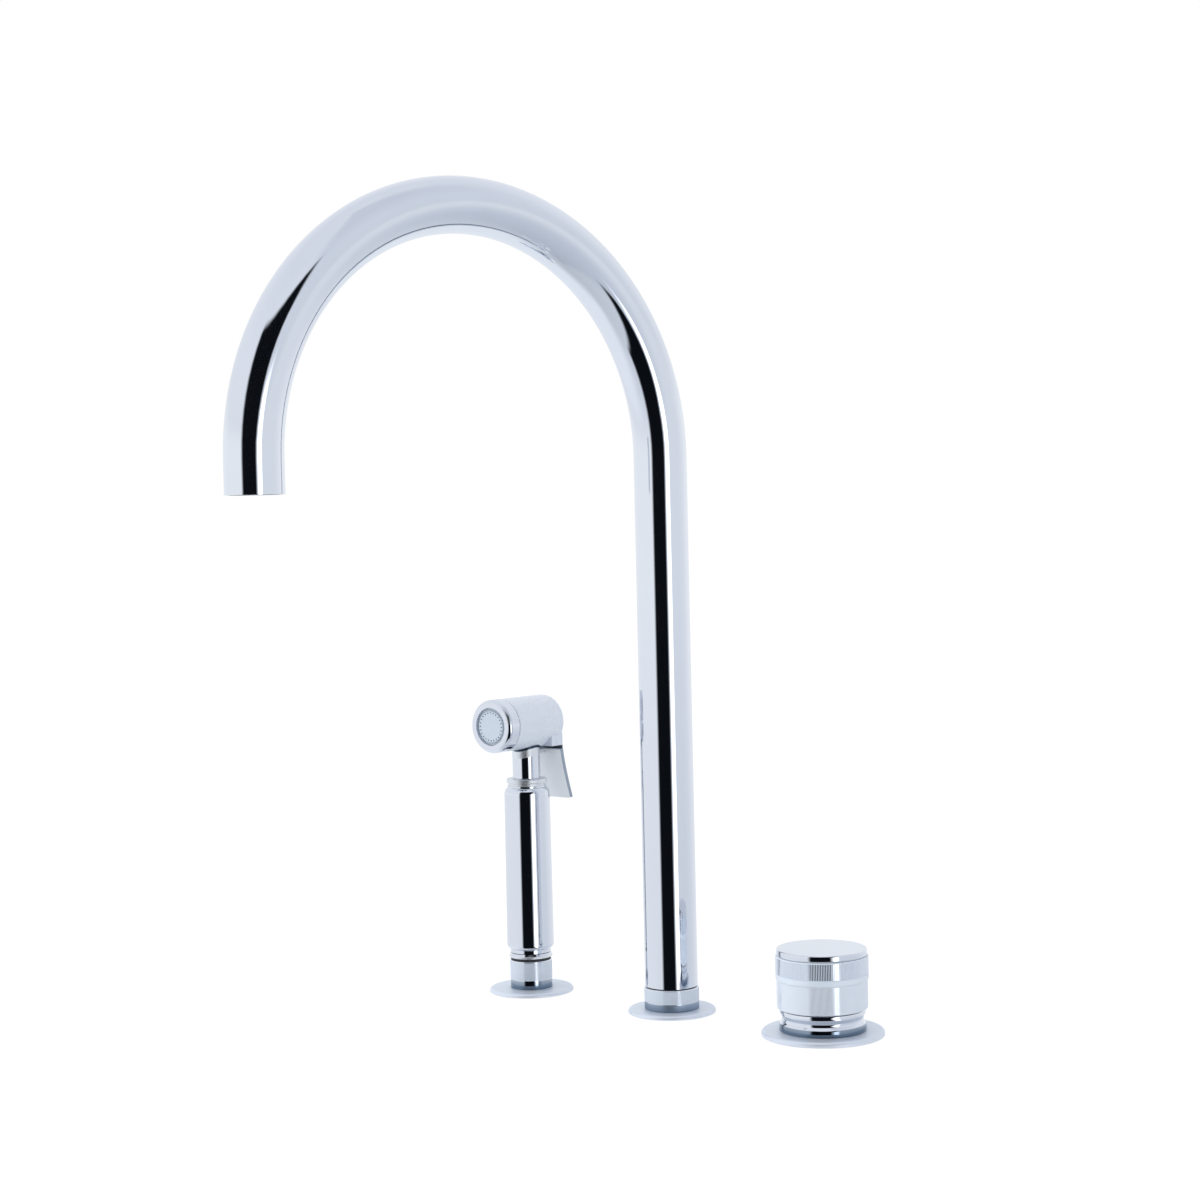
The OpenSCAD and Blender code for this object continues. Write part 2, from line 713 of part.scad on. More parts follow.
module holder_rubber_washer() color(rubber) at_spray() rubber_washer(shank_r);
module holder_steel_washer() color(steel) at_spray() steel_washer(shank_r);
module holder_back_nut() color(brass) at_spray() back_nut(shank_r);

// Pieces on the hose's end, which the handle turns on

module hose_fitting() color(chrome) at_spray() lathe() difference() {
    union() {
        ring_section(0, socket_r - 0.2, fitting_low, ferrule_low);
        polygon([
            [0, ferrule_low], [ferrule_r - edge / 2, ferrule_low], [ferrule_r, ferrule_low + edge / 2],
            [ferrule_r, ferrule_top - ferrule_bevel_h], [handle_groove_r, ferrule_top], [0, ferrule_top]
        ]);
        ring_section(0, journal_r, ferrule_top, nose_low);
        ring_section(0, nose_r, nose_low, nose_low + nose_h);
    }
    ring_section(-cut, hose_port_r, fitting_low - cut, fitting_low + hose_port_depth);
    ring_section(-cut, handset_way_r - 1, fitting_low, nose_low + nose_h + cut);
    ring_section(journal_r - 1, journal_r + cut, clip_low, clip_low + clip_t);
    ring_section(nose_r - 2 * seal_r - fit_gap, nose_r + cut,
        nose_low + nose_h / 2 - seal_r - fit_gap, nose_low + nose_h / 2 + seal_r + fit_gap);
}

module swivel_clip() color(steel) at_spray() difference() {
    ring(journal_r - 1 + fit_gap, journal_r + 1.5, clip_low, clip_low + clip_t);
    translate([0, -1.5, clip_low - cut]) cube([2 * journal_r, 3, clip_t + 2 * cut]);
}

module swivel_seal() color(rubber) at_spray() o_ring(nose_r - seal_r, nose_low + nose_h / 2);

// Turning pieces of the handset

function arc_points(r, y, q, a0, a1) =
    [for (i = [0:8]) let (a = a0 + (a1 - a0) * i / 8) [r + q * cos(a), y + q * sin(a)]];

module handle() color(chrome) at_spray() {
    groove_top = handle_low + handle_groove_h;
    low_q = 2.1;
    low_sweep = 50;
    high_q = 4;
    high_sweep = 65;
    outer = concat(
        [[0, handle_low], [handle_groove_r, handle_low], [handle_groove_r, groove_top]],
        arc_points(handle_low_r - low_q, groove_top + low_q, low_q, -low_sweep, 0),
        arc_points(handle_high_r - high_q, handle_top - high_q, high_q, 0, high_sweep),
        [[0, handle_top - high_q + high_q * sin(high_sweep)]]
    );
    difference() {
        lathe() {
            polygon(outer);
            ring_section(0, shoulder_r - edge, handle_top - high_q, handle_top);
        }
        lathe() ring_section(0, handle_groove_r - handle_wall + 1,
            handle_low + handle_end_t, handle_top - handle_end_t);
        translate([0, 0, handle_low - cut])
            cylinder(r = journal_r + run_gap, h = handle_end_t + 2 * cut, $fn = lathe_fn);
        translate([0, 0, handle_top - handle_end_t - cut])
            cylinder(r = water_tube_r + fit_gap, h = handle_end_t + 2 * cut, $fn = lathe_fn);
    }
}

module water_tube() color(white_plastic) at_spray() lathe() difference() {
    union() {
        ring_section(0, nose_r + 1.5, nose_low + 0.5, nose_low + nose_h + 3);
        ring_section(0, water_tube_r, nose_low + nose_h, ring_top + 2);
    }
    ring_section(-cut, nose_r + run_gap, nose_low, nose_low + nose_h + 0.5);
    ring_section(-cut, handset_way_r, nose_low, ring_top + 2 * cut + 2);
}

// Two thin steps with a groove between them
module top_ring() color(chrome) at_spray() lathe() {
    inner = water_tube_r + fit_gap;
    step = top_ring_h * 0.4;
    ring_section(inner, shoulder_r - 2 * edge, handle_top, ring_top - step);
    edged_section(inner, shoulder_r, ring_top - top_ring_h * 0.6, ring_top, edge);
}

module handset_neck() color(chrome) at_spray() difference() {
    union() {
        difference() {
            translate([0, 0, ring_top]) cylinder(r = neck_r, h = neck_rise, $fn = lathe_fn);
            translate([0, 0, head_z]) rotate([90, 0, 0])
                cylinder(r = head_r + 0.02, h = 4 * neck_r, center = true, $fn = lathe_fn);
        }
        translate([0, 0, ring_top + 3])
            cylinder(r = tenon_r, h = neck_rise - 3 - chamber_r, $fn = lathe_fn);
    }
    translate([0, 0, ring_top]) cylinder(r = handset_way_r, h = neck_rise, $fn = lathe_fn);
    translate([0, 0, ring_top - cut])
        cylinder(r = water_tube_r + fit_gap, h = 2 + cut, $fn = lathe_fn);
}

module head_shell() color(chrome) difference() {
    union() {
        at_head() lathe() {
            ring_section(0, head_r, ring_back + 0.6, head_rear - head_rear_edge);
            ring_section(0, head_r - head_rear_edge, 0, head_rear);
            translate([head_r - head_rear_edge, head_rear - head_rear_edge])
                intersection() {
                    circle(r = head_rear_edge, $fn = edge_fn);
                    square(head_rear_edge + cut);
                }
            ring_section(0, head_r - 0.8, ring_back, ring_back + 1.5);
        }
        at_spray() head_heel();
    }
    at_head() translate([0, 0, ring_back - cut])
        cylinder(r = chamber_r, h = chamber_end - ring_back + cut, $fn = lathe_fn);
    at_spray() {
        translate([0, 0, head_z - head_r - cut])
            cylinder(r = tenon_r + fit_gap, h = head_r, $fn = lathe_fn);
        translate([-tongue_w / 2 - swing_gap, pin_back - 2.4, head_z - head_r - cut])
            cube([tongue_w + 2 * swing_gap, 6.6, head_r - chamber_r + cut + 3]);
        translate([-head_r, pin_back, pin_z]) rotate([0, 90, 0])
            cylinder(r = pin_r, h = 2 * head_r, $fn = edge_fn);
    }
}

// Square heel around the lever's pin, with a skirt behind the lever's upper edge
module head_heel() {
    buried = heel_w / 4;
    skirt_front = lever_back + lever_t / 2 + skirt_gap;
    translate([0, 0, head_z - heel_drop])
        linear_extrude(heel_drop - buried) heel_outline(pin_back - heel_reach);
    translate([0, 0, head_z - heel_drop - skirt_drop])
        linear_extrude(skirt_drop + cut) heel_outline(skirt_front);
}

module heel_outline(front) intersection() {
    union() {
        translate([-heel_w / 2, 0]) square([heel_w, head_rear - heel_corner]);
        translate([heel_corner - heel_w / 2, 0])
            square([heel_w - 2 * heel_corner, head_rear]);
        for (s = [-1, 1])
            translate([s * (heel_w / 2 - heel_corner), head_rear - heel_corner])
                circle(r = heel_corner, $fn = edge_fn);
    }
    translate([-heel_w, front]) square([2 * heel_w, head_rear]);
}

module front_ring() color(chrome) at_head() lathe() difference() {
    union() {
        ring_section(0, front_ring_r, front_ring_edge - head_front, ring_back);
        ring_section(0, front_ring_r - front_ring_edge, -head_front, ring_back);
        translate([front_ring_r - front_ring_edge, front_ring_edge - head_front])
            circle(r = front_ring_edge, $fn = edge_fn);
        ring_section(0, chamber_r - fit_gap, ring_back, ring_back + 5);
    }
    ring_section(-cut, nozzle_r + fit_gap, -head_front - cut, -head_front + 4);
    ring_section(-cut, chamber_r - 1.5, -head_front, ring_back + 5 + cut);
}

module nozzle_plate() color(steel) at_head() difference() {
    lathe() difference() {
        ring_section(0, nozzle_r, -head_front + 0.4, -head_front + 4);
        ring_section(nozzle_centre_r, nozzle_r + cut, -head_front, -head_front + 0.4 + nozzle_groove_d);
    }
    for (i = [0:nozzle_count - 1]) rotate([0, 0, i * 360 / nozzle_count])
        translate([(nozzle_centre_r + chamber_r - 1.5) / 2 - 0.2, 0, -head_front])
            cylinder(r = nozzle_hole_r, h = 5, $fn = 6);
}

module valve_seat() color(brass) at_head()
    ring(seat_r, chamber_r - fit_gap, seat_back - seat_t, seat_back);

module stem_guide() color(brass) at_head() lathe() difference() {
    ring_section(stem_r + run_gap, chamber_r - fit_gap, guide_front, guide_front + guide_t);
    ring_section(0, stem_r + 2 * seal_r + 2 * fit_gap,
        guide_front - cut, guide_front + 2 * seal_r + fit_gap - 0.4);
}

module stem_seal() color(rubber) at_head()
    o_ring(stem_r + fit_gap + seal_r, guide_front + seal_r - 0.4);

module lever_pin() color(steel) at_spray()
    translate([-pin_half(), pin_back, pin_z]) rotate([0, 90, 0])
        cylinder(r = pin_r, h = 2 * pin_half(), $fn = edge_fn);

function pin_half() = heel_w / 2 - 0.1;

// The lever, its tongue and the finger that draws the stem back

function lever_curve(z) = lever_back
    + lever_flare * pow((lever_top - z) / (lever_top - lever_low), 1.3);

module lever_plate() {
    steps = 16;
    heights = [for (i = [0:steps]) lever_low + (lever_top - lever_low) * i / steps];
    front = [for (z = heights) [lever_curve(z) - lever_t / 2, z]];
    rear = [for (i = [steps:-1:0]) [lever_curve(heights[i]) + lever_t / 2, heights[i]]];
    intersection() {
        rotate([90, 0, 90]) linear_extrude(lever_w, center = true)
            polygon(concat(front, rear));
        rotate([90, 0, 0]) linear_extrude(8 * head_r, center = true) lever_outline();
    }
}

module lever_outline() {
    translate([-lever_w / 2, lever_low + lever_corner])
        square([lever_w, lever_top - lever_low - lever_corner + cut]);
    translate([lever_corner - lever_w / 2, lever_low])
        square([lever_w - 2 * lever_corner, lever_corner]);
    for (s = [-1, 1])
        translate([s * (lever_w / 2 - lever_corner), lever_low + lever_corner])
            circle(r = lever_corner, $fn = edge_fn);
}

module lever() color(chrome) at_spray() {
    arm_top = lever_top;
    arm_t = 2.4;
    finger_top = head_z - stem_r - finger_gap;
    difference() {
        union() {
            lever_plate();
            translate([-tongue_w / 2, pin_back - 0.5, arm_top - arm_t])
                cube([tongue_w, lever_curve(arm_top) - pin_back, arm_t]);
            translate([-tongue_w / 2, pin_back - 1, arm_top - arm_t / 2])
                cube([tongue_w, 2.5, pin_z - arm_top + arm_t / 2]);
            translate([-tongue_w / 2, pin_back, pin_z]) rotate([0, 90, 0])
                cylinder(r = pin_r + 1, h = tongue_w, $fn = edge_fn);
            translate([-tongue_w / 2, pin_back - 0.8, pin_z])
                cube([tongue_w, 1.6, finger_top - pin_z]);
        }
        translate([-tongue_w, pin_back, pin_z]) rotate([0, 90, 0])
            cylinder(r = pin_r + run_gap, h = 2 * tongue_w, $fn = edge_fn);
    }
}

// Sliding pieces of the handset's valve

module valve_stem() color(brass) at_head() lathe() {
    ring_section(0, stem_r, seat_back + washer_face_t, collar_front + 1);
    ring_section(0, valve_disc_r, seat_back + washer_face_t,
        seat_back + washer_face_t + valve_disc_t);
    ring_section(0, stem_collar_r, collar_front, collar_front + 1);
}

module seat_washer() color(rubber) at_head()
    ring(0, valve_disc_r, seat_back, seat_back + washer_face_t);

// One unbroken wire between the valve disc and the stem's guide
module return_spring() color(steel) at_head() {
    wire_low = seat_back + washer_face_t + valve_disc_t + spring_wire_r + fit_gap;
    wire_high = guide_front - spring_wire_r - fit_gap;
    sides = 8;
    per_turn = 20;
    rings = spring_turns * per_turn;
    pitch = (wire_high - wire_low) / spring_turns;
    lean = atan(pitch / (2 * PI * spring_r));
    points = [
        for (i = [0:rings], k = [0:sides - 1])
            let (
                turn = i * 360 / per_turn,
                side = k * 360 / sides,
                out = spring_wire_r * cos(side),
                up = spring_wire_r * sin(side),
                r = spring_r + out,
                x = r * cos(turn) + up * sin(lean) * sin(turn),
                y = r * sin(turn) - up * sin(lean) * cos(turn)
            )
            [x, y, wire_low + i * pitch / per_turn + up * cos(lean)]
    ];
    walls = [
        for (i = [0:rings - 1], k = [0:sides - 1])
            let (a = i * sides + k, b = i * sides + (k + 1) % sides)
                each [[a, a + sides, b + sides], [a, b + sides, b]]
    ];
    start = [for (k = [1:sides - 2]) [0, k, k + 1]];
    finish = [for (k = [1:sides - 2])
        let (o = rings * sides) [o, o + k + 1, o + k]];
    polyhedron(points, concat(walls, start, finish));
}

spout_flange();
small_gaskets();
spout_shank();
spout_seals();
spout_thrust_washer();
spout_rubber_washer();
spout_steel_washer();
spout_back_nut();
spout_tube();
swivel_sleeve();
spout_lock_screw();
aerator_housing();
aerator_jet_plate();
aerator_gasket();
control_flange();
control_gasket();
control_base();
valve_body();
tail_block();
hot_socket();
cold_socket();
mixed_socket();
control_rubber_washer();
control_steel_washer();
control_back_nut();
cartridge_case();
cartridge_nut();
cartridge_seals();
fixed_disc();
moving_disc();
spindle();
knob_insert();
knob_sleeve();
grip_band();
knob_cap();
knob_lock_screw();
holder_flange();
holder_body();
holder_liner();
holder_rubber_washer();
holder_steel_washer();
holder_back_nut();
hose_fitting();
swivel_clip();
swivel_seal();
handle();
water_tube();
top_ring();
handset_neck();
head_shell();
front_ring();
nozzle_plate();
valve_seat();
stem_guide();
stem_seal();
lever_pin();
lever();
valve_stem();
seat_washer();
return_spring();
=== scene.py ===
import json
import math

import bpy
from mathutils import Matrix, Vector


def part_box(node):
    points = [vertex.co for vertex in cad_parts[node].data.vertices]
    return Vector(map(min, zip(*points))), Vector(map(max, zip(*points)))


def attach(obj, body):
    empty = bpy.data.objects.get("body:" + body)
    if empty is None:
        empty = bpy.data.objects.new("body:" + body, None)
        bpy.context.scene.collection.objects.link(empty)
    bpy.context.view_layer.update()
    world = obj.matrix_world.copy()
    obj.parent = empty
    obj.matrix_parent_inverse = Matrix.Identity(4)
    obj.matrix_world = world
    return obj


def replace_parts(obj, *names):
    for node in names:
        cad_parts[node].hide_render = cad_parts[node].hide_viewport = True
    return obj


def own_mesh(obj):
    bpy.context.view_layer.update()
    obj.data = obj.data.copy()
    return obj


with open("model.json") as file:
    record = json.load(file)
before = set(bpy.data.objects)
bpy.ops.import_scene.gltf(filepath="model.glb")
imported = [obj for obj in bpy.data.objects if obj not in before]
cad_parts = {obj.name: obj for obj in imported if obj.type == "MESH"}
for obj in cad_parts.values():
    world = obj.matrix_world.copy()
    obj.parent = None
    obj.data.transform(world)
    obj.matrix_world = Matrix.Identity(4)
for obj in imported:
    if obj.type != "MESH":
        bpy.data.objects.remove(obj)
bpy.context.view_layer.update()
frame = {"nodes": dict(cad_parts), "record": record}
nodes = frame["nodes"]

# Lengths on the part are in millimetres, which MM turns into metres. Heights are above the worktop.
MM = 0.001
CONTROL_X = 85.5
SPRAY_X = -88
HEAD_Z = 133.6


def place_camera():
    """Stands where the photograph was taken."""
    turn, rise, roll = math.radians(39.34), math.radians(2.19), math.radians(-1.31)
    place = (0.65433, -0.84512, 0.23645)
    back = Vector((math.sin(turn) * math.cos(rise), -math.cos(turn) * math.cos(rise), math.sin(rise)))
    level = Vector((math.cos(turn), math.sin(turn), 0))
    upright = back.cross(level)
    right = math.cos(roll) * level + math.sin(roll) * upright
    up = -math.sin(roll) * level + math.cos(roll) * upright
    camera = bpy.data.objects.new("camera", bpy.data.cameras.new("camera"))
    bpy.context.scene.collection.objects.link(camera)
    camera.matrix_world = Matrix((
        (right.x, up.x, back.x, place[0]),
        (right.y, up.y, back.y, place[1]),
        (right.z, up.z, back.z, place[2]),
        (0, 0, 0, 1)))
    camera.data.sensor_width = 36
    camera.data.lens = 68.22
    camera.data.clip_start = 0.02
    camera.data.clip_end = 50
    bpy.context.scene.camera = camera


class Tree:
    """A node tree, with short names for what the materials and the world build from."""

    def __init__(self, tree):
        self.tree = tree
        tree.nodes.clear()

    def add(self, kind, **values):
        n = self.tree.nodes.new(kind)
        for k, v in values.items():
            setattr(n, k, v)
        return n

    def join(self, a, b):
        self.tree.links.new(a, b)

    def put(self, socket, v):
        """Links a socket to another, or sets its value. A colour is given as three numbers."""
        if isinstance(v, bpy.types.NodeSocket):
            self.join(v, socket)
        elif socket.type == "RGBA":
            socket.default_value = tuple(v) + (1,)
        else:
            socket.default_value = v

    def math(self, op, a, b=0.0):
        n = self.add("ShaderNodeMath", operation=op)
        self.put(n.inputs[0], a)
        self.put(n.inputs[1], b)
        return n.outputs[0]

    def times(self, *values):
        product = values[0]
        for v in values[1:]:
            product = self.math("MULTIPLY", product, v)
        return product

    def rest(self, v):
        """What v leaves of one."""
        return self.math("SUBTRACT", 1.0, v)

    def step(self, v, a, b):
        """A smooth step from 0 at a to 1 at b."""
        n = self.add("ShaderNodeMapRange", interpolation_type="SMOOTHSTEP", clamp=True)
        self.put(n.inputs["Value"], v)
        self.put(n.inputs["From Min"], a)
        self.put(n.inputs["From Max"], b)
        return n.outputs["Result"]

    def between(self, v, start, end):
        """1 between start and end, which are the two ends of a smooth step each."""
        return self.times(self.step(v, *start), self.rest(self.step(v, *end)))

    def parts(self, vector):
        """The X, Y and Z of a vector."""
        n = self.add("ShaderNodeSeparateXYZ")
        self.join(vector, n.inputs[0])
        return n.outputs

    def distance(self, a, b):
        n = self.add("ShaderNodeVectorMath", operation="DISTANCE")
        self.join(a, n.inputs[0])
        self.put(n.inputs[1], b)
        return n.outputs["Value"]

    def ramp(self, v, stops):
        """Colours along v, from stops of (place, colour)."""
        n = self.add("ShaderNodeValToRGB")
        e = n.color_ramp.elements
        while len(e) > 1:
            e.remove(e[-1])
        e[0].position, e[0].color = stops[0][0], stops[0][1] + (1,)
        for place, colour in stops[1:]:
            e.new(place).color = colour + (1,)
        self.put(n.inputs[0], v)
        return n.outputs[0]

    def mix(self, share, a, b, mode="MIX"):
        """Colour a, with this share of colour b in it."""
        n = self.add("ShaderNodeMix", data_type="RGBA", blend_type=mode)
        self.put(n.inputs["Factor"], share)
        for name, v in (("A", a), ("B", b)):
            self.put(next(s for s in n.inputs if s.name == name and s.type == "RGBA"), v)
        return next(s for s in n.outputs if s.type == "RGBA")

    def place(self):
        return self.add("ShaderNodeTexCoord").outputs["Object"]

    def noise(self, place, scale, detail=2):
        n = self.add("ShaderNodeTexNoise")
        self.join(place, n.inputs["Vector"])
        n.inputs["Scale"].default_value = scale
        n.inputs["Detail"].default_value = detail
        return n.outputs["Fac"]

    def bump(self, height, distance):
        n = self.add("ShaderNodeBump")
        n.inputs["Distance"].default_value = distance
        self.join(height, n.inputs["Height"])
        return n.outputs[0]

    def shine(self, kind, colour, strength=1.0):
        """A background or an emission."""
        n = self.add(kind)
        self.put(n.inputs["Color"], colour)
        n.inputs["Strength"].default_value = strength
        return n.outputs[0]

    def mix_shaders(self, share, a, b):
        n = self.add("ShaderNodeMixShader")
        self.join(share, n.inputs[0])
        self.join(a, n.inputs[1])
        self.join(b, n.inputs[2])
        return n.outputs[0]

    def show(self, shader, kind="ShaderNodeOutputMaterial"):
        self.join(shader, self.add(kind).inputs[0])


def panel_and_strip(w, azimuth, elevation):
    """Masks of a black panel in front of the object and of a bright strip to its right.
    The panel is narrowest at its middle height, and the strip follows its edge."""
    middle, flare, waist, narrowest, widest = -3.0, 0.75, 52.0, 57.5, 76.0
    panel_left, panel_right = (-4.0, 7.0), (-4.0, 4.0)
    panel_foot, panel_top = (-47.0, -41.0), (41.0, 46.0)
    strip_left, strip_right = (3.0, 8.0), (15.0, 22.0)
    strip_foot, strip_top = (-30.0, -16.0), (5.0, 17.0)
    lift = w.math("ABSOLUTE", w.math("SUBTRACT", elevation, middle))
    edge = w.math("ADD", w.times(lift, flare), waist)
    edge = w.math("MAXIMUM", w.math("MINIMUM", edge, widest), narrowest)
    past = w.math("SUBTRACT", azimuth, edge)
    panel = w.times(w.step(azimuth, *panel_left), w.rest(w.step(past, *panel_right)),
                    w.between(elevation, panel_foot, panel_top))
    strip = w.times(w.between(past, strip_left, strip_right),
                    w.between(elevation, strip_foot, strip_top))
    return panel, strip


def studio_walls(w, azimuth, elevation):
    """Pale walls, a little darker low down and on the right, with the panel and the strip."""
    lowest, whole = -90.0, 180.0
    height = w.math("DIVIDE", w.math("SUBTRACT", elevation, lowest), whole)
    walls = w.ramp(height, [
        (0.0, (0.58, 0.61, 0.66)), (0.36, (0.73, 0.76, 0.81)), (0.43, (0.82, 0.84, 0.88)),
        (0.49, (0.94, 0.95, 0.97)), (0.53, (0.95, 0.96, 0.97)), (0.565, (0.86, 0.88, 0.91)),
        (0.68, (0.87, 0.89, 0.93)), (0.85, (0.80, 0.82, 0.87)), (1.0, (0.82, 0.84, 0.88))])
    low_left = w.times(w.step(azimuth, -5.0, -50.0), w.step(elevation, -6.0, -18.0),
                       w.step(elevation, -84.0, -60.0))
    walls = w.mix(low_left, walls, (0.90, 0.93, 0.97))
    right_share, right_tone = 0.9, (0.83, 0.85, 0.88)
    right = w.times(w.between(azimuth, (55.0, 80.0), (120.0, 175.0)), right_share)
    walls = w.mix(right, walls, right_tone, "MULTIPLY")
    panel, strip = panel_and_strip(w, azimuth, elevation)
    bright, black = (2.8, 2.8, 2.8), (0.004, 0.005, 0.007)
    return w.mix(panel, w.mix(strip, walls, bright), black)


def make_studio():
    """White to the camera, an even light on the object, and a studio in its reflections.
    Azimuth 0 lies at -Y and 90 at +X, and elevation is above the horizon, both in degrees."""
    world = bpy.data.worlds.new("studio")
    bpy.context.scene.world = world
    world.use_nodes = True
    w = Tree(world.node_tree)
    x, y, z = w.parts(w.add("ShaderNodeTexCoord").outputs["Generated"])
    degrees = 180 / math.pi
    azimuth = w.times(w.math("ARCTAN2", x, w.times(y, -1.0)), degrees)
    elevation = w.times(w.math("ARCSINE", z), degrees)
    walls = studio_walls(w, azimuth, elevation)
    # What the pieces mirror in each other is darker, most of all towards the front right
    loss_all_round, loss_front_right = 0.12, 0.58
    path = w.add("ShaderNodeLightPath")
    second_bounce = w.step(path.outputs["Glossy Depth"], 1.4, 1.6)
    front_right = w.times(w.step(azimuth, -25.0, 0.0), w.step(azimuth, 80.0, 60.0))
    loss = w.math("ADD", w.times(front_right, loss_front_right), loss_all_round)
    walls = w.mix(w.times(second_bounce, loss), walls, (0.0, 0.0, 0.0))
    light_left, light_right, light_strength = (0.895, 0.93, 0.985), (0.70, 0.73, 0.78), 0.92
    light = w.mix(w.step(x, 0.1, 0.8), light_left, light_right)
    even = w.shine("ShaderNodeBackground", light, light_strength)
    white = w.shine("ShaderNodeBackground", (1, 1, 1))
    studio = w.shine("ShaderNodeBackground", walls)
    seen = w.mix_shaders(path.outputs["Is Camera Ray"], even, white)
    mirrored = w.math("MAXIMUM", path.outputs["Is Glossy Ray"], path.outputs["Is Transmission Ray"])
    w.show(w.mix_shaders(mirrored, seen, studio), "ShaderNodeOutputWorld")
    bpy.context.scene.view_settings.view_transform = "Standard"


def hang_lamp():
    """One soft lamp at the upper left, out of the reflections."""
    lamp = bpy.data.objects.new("lamp", bpy.data.lights.new("lamp", "AREA"))
    bpy.context.scene.collection.objects.link(lamp)
    lamp.data.shape = "DISK"
    lamp.data.size = 1.6
    lamp.data.energy = 14
    lamp.location = (-1.5, -1.0, 1.4)
    aim = Vector((0, -0.05, 0.1))
    lamp.rotation_euler = (aim - lamp.location).to_track_quat("-Z", "Y").to_euler()
    lamp.visible_glossy = False


def material(name):
    m = bpy.data.materials.new(name)
    m.use_nodes = True
    return m, Tree(m.node_tree)


FLOOR_Z = -0.2
FLOOR_REACH = 12000


def floor_finish():
    """A white worktop. In the metal the studio shows, except close round each flange."""
    glow_strength, glow_share = 1.07, 0.86
    near, far = 4, 8
    m, t = material("worktop_white")
    place = t.place()
    path = t.add("ShaderNodeLightPath")
    surface = t.add("ShaderNodeBsdfDiffuse")
    grain = t.add("ShaderNodeTexNoise")
    grain.inputs["Scale"].default_value = 60
    t.put(surface.inputs["Color"], t.mix(grain.outputs["Fac"], (0.955, 0.957, 0.962), (0.975, 0.976, 0.98)))
    glow = t.shine("ShaderNodeEmission", (1, 1, 1), glow_strength)
    to_camera = t.times(path.outputs["Is Camera Ray"], glow_share)
    plain = t.mix_shaders(to_camera, surface.outputs[0], glow)
    away = 1.0
    for x, flange_radius in ((0, 20.8), (SPRAY_X, 20.8), (CONTROL_X, 27.7)):
        apart = t.distance(place, (x * MM, 0, FLOOR_Z * MM))
        outside = t.step(apart, (flange_radius + near) * MM, (flange_radius + far) * MM)
        away = t.times(outside, away)
    pale = t.shine("ShaderNodeEmission", (0.90, 0.92, 0.95))
    mirrored = t.mix_shaders(away, pale, t.add("ShaderNodeBsdfTransparent").outputs[0])
    t.show(t.mix_shaders(path.outputs["Is Glossy Ray"], plain, mirrored))
    return m


def lay_floor():
    mesh = bpy.data.meshes.new("floor")
    corners = [(sx * FLOOR_REACH * MM, sy * FLOOR_REACH * MM, FLOOR_Z * MM)
               for sx, sy in ((-1, -1), (1, -1), (1, 1), (-1, 1))]
    mesh.from_pydata(corners, [], [(0, 1, 2, 3)])
    mesh.materials.append(floor_finish())
    floor = bpy.data.objects.new("floor", mesh)
    bpy.context.scene.collection.objects.link(floor)


place_camera()
make_studio()
hang_lamp()
lay_floor()


# Materials
def metal(name, colour, rough, spread, bump_scale, bump_depth, tint, patches=()):
    """Metal with a roughness that varies a little and a faint unevenness in its polish.
    Each patch is (mask builder, colour, added roughness) for a part of it that differs."""
    cloud_scale, cloud_detail = 90, 4
    m, t = material(name)
    place = t.place()
    s = t.add("ShaderNodeBsdfPrincipled")
    s.inputs["Metallic"].default_value = 1.0
    clouds = t.noise(place, cloud_scale, cloud_detail)
    base = t.mix(clouds, tuple(c * (1 - tint) for c in colour), colour)
    roughness = t.math("ADD", t.times(clouds, spread), rough)
    for build, patch_colour, added in patches:
        mask = build(t, place)
        base = t.mix(mask, base, patch_colour)
        roughness = t.math("ADD", roughness, t.times(mask, added))
    t.join(base, s.inputs["Base Color"])
    t.join(roughness, s.inputs["Roughness"])
    t.join(t.bump(t.noise(place, bump_scale), bump_depth), s.inputs["Normal"])
    t.show(s.outputs[0])
    return m


def principled(m):
    return next(n for n in m.node_tree.nodes if n.type == "BSDF_PRINCIPLED")


def satin_metal(name, colour, metallic, rough, polish=0, patches=()):
    """Finely cut chrome: soft light from the cuts. Where the polished lands between them aren't
    modelled, a coat stands for their sharp reflection, and polish is its index of refraction."""
    m = metal(name, colour, rough, spread=0.10, bump_scale=1400, bump_depth=0.00003, tint=0.06,
              patches=patches)
    s = principled(m)
    s.inputs["Metallic"].default_value = metallic
    if polish:
        s.inputs["Coat Weight"].default_value = 1.0
        s.inputs["Coat Roughness"].default_value = 0.05
        s.inputs["Coat IOR"].default_value = polish
    return m


def matt(name, colour, rough, grain_scale, depth, tint=0.15, coat=0.0):
    """Rubber, plastic or ceramic, with a fine grain."""
    grain_detail, spread = 3, 0.15
    m, t = material(name)
    s = t.add("ShaderNodeBsdfPrincipled")
    grains = t.noise(t.place(), grain_scale, grain_detail)
    t.join(t.mix(grains, tuple(c * (1 - tint) for c in colour), colour), s.inputs["Base Color"])
    t.join(t.math("ADD", t.times(grains, spread), rough), s.inputs["Roughness"])
    t.join(t.bump(grains, depth), s.inputs["Normal"])
    s.inputs["Coat Weight"].default_value = coat
    t.show(s.outputs[0])
    return m


# Masks of a part of a surface, as builders that metal() calls. SOFT is half the width of a mask's edge.
SOFT = 0.1
HEAD_AXIS = (SPRAY_X * MM, 0, HEAD_Z * MM)


def edge_at(t, v, length):
    return t.step(v, (length - SOFT) * MM, (length + SOFT) * MM)


def band_mask(low, high):
    """Between two heights."""
    def build(t, place):
        z = t.parts(place)["Z"]
        return t.math("SUBTRACT", edge_at(t, z, low), edge_at(t, z, high))
    return build


def cap_mask(low, high):
    """Below a height, at the cap's seam, and above another, on its top face."""
    def build(t, place):
        return t.rest(band_mask(low, high)(t, place))
    return build


